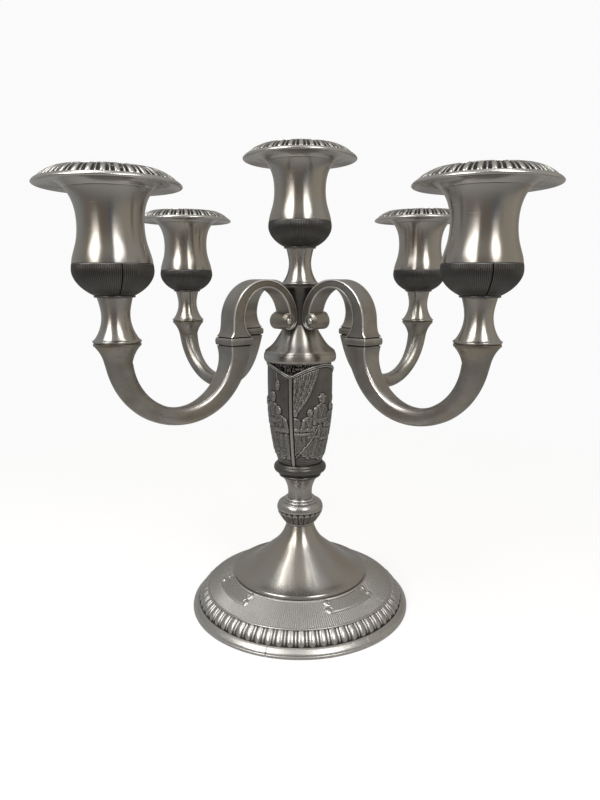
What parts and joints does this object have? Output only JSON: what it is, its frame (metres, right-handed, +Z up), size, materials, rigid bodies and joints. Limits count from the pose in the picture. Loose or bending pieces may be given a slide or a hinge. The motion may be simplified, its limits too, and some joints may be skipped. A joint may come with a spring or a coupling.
{
  "type": "tabletop candelabra",
  "caption": "Tabletop candelabra with a round gadrooned foot, a panelled column, curved scroll arms and turned cups with lift-out drip pans.",
  "frame": {"origin": "centre of the foot's underside, on the column's axis", "axes": "+Z up along the column; arm 1 points along +X and arms 2, 3 and 4 follow anticlockwise at 90 degree steps"},
  "size_m": [0.2968, 0.2968, 0.2714],
  "materials": {
    "satin_pewter": "turned satin pewter with fine circumferential tool marks",
    "cast_pewter": "cast pewter, brushed matt, brighter along its edges",
    "dark_pewter": "cast pewter with a dark oxidised patina, rubbed lighter on the high spots",
    "steel": "plain zinc-plated steel"
  },
  "bodies": {
    "base": {"foot_ring": "cast_pewter", "trumpet": "satin_pewter", "knop": "satin_pewter", "lower_neck": "satin_pewter", "column_collar": "satin_pewter", "column_core": "dark_pewter", "column_panel_1": "dark_pewter", "column_panel_2": "dark_pewter", "column_panel_3": "dark_pewter", "column_cap": "satin_pewter", "tie_rod": "steel", "foot_washer": "steel", "foot_nut": "steel"},
    "branch": {"arm_hub": "dark_pewter", "arm_scroll_1": "cast_pewter", "arm_scroll_2": "cast_pewter", "arm_scroll_3": "cast_pewter", "arm_scroll_4": "cast_pewter", "arm_sweep_1": "cast_pewter", "arm_sweep_2": "cast_pewter", "arm_sweep_3": "cast_pewter", "arm_sweep_4": "cast_pewter", "cup_screw_centre": "steel", "cup_screw_1": "steel", "cup_screw_2": "steel", "cup_screw_3": "steel", "cup_screw_4": "steel"},
    "cup_centre": {"cup_neck_centre": "satin_pewter", "cup_bowl_centre": "dark_pewter", "cup_body_centre": "satin_pewter"},
    "pan_centre": {"drip_pan_centre": "satin_pewter"},
    "cup_1": {"cup_neck_1": "satin_pewter", "cup_bowl_1": "dark_pewter", "cup_body_1": "satin_pewter"},
    "pan_1": {"drip_pan_1": "satin_pewter"},
    "cup_2": {"cup_neck_2": "satin_pewter", "cup_bowl_2": "dark_pewter", "cup_body_2": "satin_pewter"},
    "pan_2": {"drip_pan_2": "satin_pewter"},
    "cup_3": {"cup_neck_3": "satin_pewter", "cup_bowl_3": "dark_pewter", "cup_body_3": "satin_pewter"},
    "pan_3": {"drip_pan_3": "satin_pewter"},
    "cup_4": {"cup_neck_4": "satin_pewter", "cup_bowl_4": "dark_pewter", "cup_body_4": "satin_pewter"},
    "pan_4": {"drip_pan_4": "satin_pewter"}
  },
  "joints": [
    {"name": "branch_turn", "type": "hinge", "parent": "base", "child": "branch", "pos_m": [0, 0, 0.174], "axis": [0, 0, 1], "continuous": true},
    {"name": "cup_centre_turn", "type": "hinge", "parent": "branch", "child": "cup_centre", "pos_m": [0, 0, 0.1964], "axis": [0, 0, 1], "continuous": true},
    {"name": "pan_centre_lift", "type": "slide", "parent": "cup_centre", "child": "pan_centre", "axis": [0, 0, 1], "range_m": [0, 0.03]},
    {"name": "cup_1_turn", "type": "hinge", "parent": "branch", "child": "cup_1", "pos_m": [0.1164, 0, 0.1708], "axis": [0, 0, 1], "continuous": true},
    {"name": "pan_1_lift", "type": "slide", "parent": "cup_1", "child": "pan_1", "axis": [0, 0, 1], "range_m": [0, 0.03]},
    {"name": "cup_2_turn", "type": "hinge", "parent": "branch", "child": "cup_2", "pos_m": [0, 0.1164, 0.1708], "axis": [0, 0, 1], "continuous": true},
    {"name": "pan_2_lift", "type": "slide", "parent": "cup_2", "child": "pan_2", "axis": [0, 0, 1], "range_m": [0, 0.03]},
    {"name": "cup_3_turn", "type": "hinge", "parent": "branch", "child": "cup_3", "pos_m": [-0.1164, 0, 0.1708], "axis": [0, 0, 1], "continuous": true},
    {"name": "pan_3_lift", "type": "slide", "parent": "cup_3", "child": "pan_3", "axis": [0, 0, 1], "range_m": [0, 0.03]},
    {"name": "cup_4_turn", "type": "hinge", "parent": "branch", "child": "cup_4", "pos_m": [0, -0.1164, 0.1708], "axis": [0, 0, 1], "continuous": true},
    {"name": "pan_4_lift", "type": "slide", "parent": "cup_4", "child": "pan_4", "axis": [0, 0, 1], "range_m": [0, 0.03]}
  ]
}
